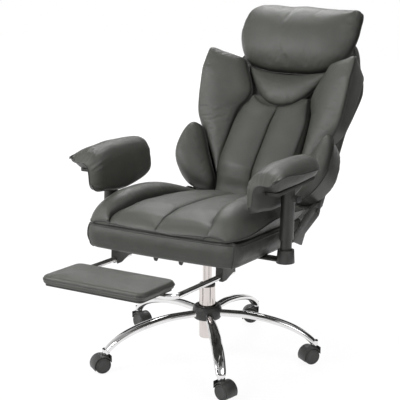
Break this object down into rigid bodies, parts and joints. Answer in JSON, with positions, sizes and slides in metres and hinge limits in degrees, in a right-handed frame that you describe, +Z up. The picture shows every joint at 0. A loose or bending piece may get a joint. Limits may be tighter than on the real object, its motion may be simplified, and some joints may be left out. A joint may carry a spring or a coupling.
{
  "type": "reclining office chair",
  "caption": "Padded reclining office chair on a chrome star base with casters, with height-adjustable arms and a footrest that slides out from under the seat and flips over.",
  "frame": {"origin": "on the floor under the middle of the chair's box in the pictured posture, with the back reclined and the footrest out; the lift column stands 58 mm in front of it", "axes": "+Z up, the chair faces -Y, +X is the sitter's left"},
  "size_m": [0.68, 1.3586, 1.0291],
  "materials": {
    "leather": "soft satin, black, sewn panels",
    "chrome": "bright plating over steel",
    "nylon": "moulded, black, satin",
    "painted_steel": "black powder coat"
  },
  "bodies": {
    "base": {"base_hub": "painted_steel", "base_leg_1": "chrome", "base_leg_2": "chrome", "base_leg_3": "chrome", "base_leg_4": "chrome", "base_leg_5": "chrome", "hub_cover": "nylon", "column_tube": "chrome", "column_bush": "nylon"},
    "caster_1": {"caster_hood_1": "nylon"},
    "wheels_1": {"caster_wheels_1": "nylon"},
    "caster_2": {"caster_hood_2": "nylon"},
    "wheels_2": {"caster_wheels_2": "nylon"},
    "caster_3": {"caster_hood_3": "nylon"},
    "wheels_3": {"caster_wheels_3": "nylon"},
    "caster_4": {"caster_hood_4": "nylon"},
    "wheels_4": {"caster_wheels_4": "nylon"},
    "caster_5": {"caster_hood_5": "nylon"},
    "wheels_5": {"caster_wheels_5": "nylon"},
    "lift": {"gas_cylinder": "chrome"},
    "mechanism": {"mechanism_box": "painted_steel", "rock_pin": "painted_steel"},
    "height_lever": {"height_lever": "nylon"},
    "tension_knob": {"tension_knob": "nylon"},
    "seat": {"seat_mount_plate": "painted_steel", "seat_base": "leather", "seat_cushion": "leather", "footrest_guide_left": "painted_steel", "footrest_guide_right": "painted_steel", "footrest_catch_left": "painted_steel", "footrest_catch_right": "painted_steel", "arm_bar_left": "painted_steel", "arm_bar_right": "painted_steel", "arm_collar_left": "nylon", "arm_collar_right": "nylon", "arm_post_left": "painted_steel", "arm_post_right": "painted_steel", "hinge_plate_left": "painted_steel", "hinge_plate_right": "painted_steel"},
    "recline_lever": {"recline_lever": "nylon"},
    "arm_left": {"arm_sleeve_left": "painted_steel", "arm_pad_left": "leather"},
    "arm_right": {"arm_sleeve_right": "painted_steel", "arm_pad_right": "leather"},
    "button_left": {"arm_button_left": "nylon"},
    "button_right": {"arm_button_right": "nylon"},
    "back": {"hinge_arm_left": "painted_steel", "hinge_arm_right": "painted_steel", "back_shell": "leather", "back_cushion": "leather", "back_wing_left": "leather", "back_wing_right": "leather", "lumbar_bolster_left": "leather", "lumbar_bolster_right": "leather", "neck_pad": "leather", "headrest": "leather"},
    "footrest_frame": {"footrest_frame": "chrome"},
    "footrest": {"footrest_board": "painted_steel", "footrest_pad": "leather"}
  },
  "joints": [
    {"name": "lift_slide", "type": "slide", "parent": "base", "child": "lift", "axis": [0, 0, 1], "range_m": [-0.08, 0.02]},
    {"name": "seat_swivel", "type": "hinge", "parent": "lift", "child": "mechanism", "pos_m": [0, -0.05751, 0.343], "axis": [0, 0, 1], "continuous": true},
    {"name": "seat_rock", "type": "hinge", "parent": "mechanism", "child": "seat", "pos_m": [0, -0.11848, 0.35559], "axis": [-1, 0, 0], "range_deg": [0, 10], "stiffness_Nm_per_rad": 220, "springref_deg": -14.32},
    {"name": "height_lever_pull", "type": "hinge", "parent": "mechanism", "child": "height_lever", "pos_m": [-0.055, -0.0927, 0.35105], "axis": [0, 0.9982, -0.0593], "range_deg": [0, 3.5], "stiffness_Nm_per_rad": 4, "springref_deg": -6.88},
    {"name": "tension_knob_turn", "type": "hinge", "parent": "mechanism", "child": "tension_knob", "pos_m": [0, -0.13357, 0.35448], "axis": [0, 0.9982, -0.0593], "range_deg": [-180, 180]},
    {"name": "back_recline", "type": "hinge", "parent": "seat", "child": "back", "pos_m": [0, 0.22738, 0.42721], "axis": [-1, 0, 0], "range_deg": [-27, 23]},
    {"name": "recline_lever_pull", "type": "hinge", "parent": "seat", "child": "recline_lever", "pos_m": [-0.2365, 0.12923, 0.37694], "axis": [-1, 0, 0], "range_deg": [0, 12], "stiffness_Nm_per_rad": 1.2, "springref_deg": -14.32},
    {"name": "arm_left_height", "type": "slide", "parent": "seat", "child": "arm_left", "axis": [0, 0.0593, 0.9982], "range_m": [-0.015, 0.05]},
    {"name": "arm_right_height", "type": "slide", "parent": "seat", "child": "arm_right", "axis": [0, 0.0593, 0.9982], "range_m": [-0.015, 0.05]},
    {"name": "arm_left_button", "type": "slide", "parent": "arm_left", "child": "button_left", "axis": [-1, 0, 0], "range_m": [0, 0.0035], "stiffness_N_per_m": 1000, "springref_m": -0.002},
    {"name": "arm_right_button", "type": "slide", "parent": "arm_right", "child": "button_right", "axis": [1, 0, 0], "range_m": [0, 0.0035], "stiffness_N_per_m": 1000, "springref_m": -0.002},
    {"name": "footrest_slide", "type": "slide", "parent": "seat", "child": "footrest_frame", "axis": [0, 0.9982, -0.0593], "range_m": [0, 0.22]},
    {"name": "footrest_flip", "type": "hinge", "parent": "footrest_frame", "child": "footrest", "pos_m": [0, -0.5539, 0.36142], "axis": [1, 0, 0], "range_deg": [0, 180]},
    {"name": "caster_1_swivel", "type": "hinge", "parent": "base", "child": "caster_1", "pos_m": [0.19573, -0.32692, 0.05], "axis": [0, 0, 1], "continuous": true},
    {"name": "caster_1_spin", "type": "hinge", "parent": "caster_1", "child": "wheels_1", "pos_m": [0.21119, -0.33106, 0.025], "axis": [0.2588, 0.9659, 0], "continuous": true},
    {"name": "caster_2_swivel", "type": "hinge", "parent": "base", "child": "caster_2", "pos_m": [0.3167, 0.04539, 0.05], "axis": [0, 0, 1], "continuous": true},
    {"name": "caster_2_spin", "type": "hinge", "parent": "caster_2", "child": "wheels_2", "pos_m": [0.30752, 0.03228, 0.025], "axis": [0.8192, -0.5736, 0], "continuous": true},
    {"name": "caster_3_swivel", "type": "hinge", "parent": "base", "child": "caster_3", "pos_m": [0, 0.27549, 0.05], "axis": [0, 0, 1], "continuous": true},
    {"name": "caster_3_spin", "type": "hinge", "parent": "caster_3", "child": "wheels_3", "pos_m": [-0.0145, 0.26872, 0.025], "axis": [0.4226, -0.9063, 0], "continuous": true},
    {"name": "caster_4_swivel", "type": "hinge", "parent": "base", "child": "caster_4", "pos_m": [-0.3167, 0.04539, 0.05], "axis": [0, 0, 1], "continuous": true},
    {"name": "caster_4_spin", "type": "hinge", "parent": "caster_4", "child": "wheels_4", "pos_m": [-0.30167, 0.03992, 0.025], "axis": [0.342, 0.9397, 0], "continuous": true},
    {"name": "caster_5_swivel", "type": "hinge", "parent": "base", "child": "caster_5", "pos_m": [-0.19573, -0.32692, 0.05], "axis": [0, 0, 1], "continuous": true},
    {"name": "caster_5_spin", "type": "hinge", "parent": "caster_5", "child": "wheels_5", "pos_m": [-0.20491, -0.34002, 0.025], "axis": [0.8192, -0.5736, 0], "continuous": true}
  ],
  "couplings": [
    {"joint": "footrest_flip", "follows": "footrest_slide", "rad_per_m": 14.28}
  ]
}
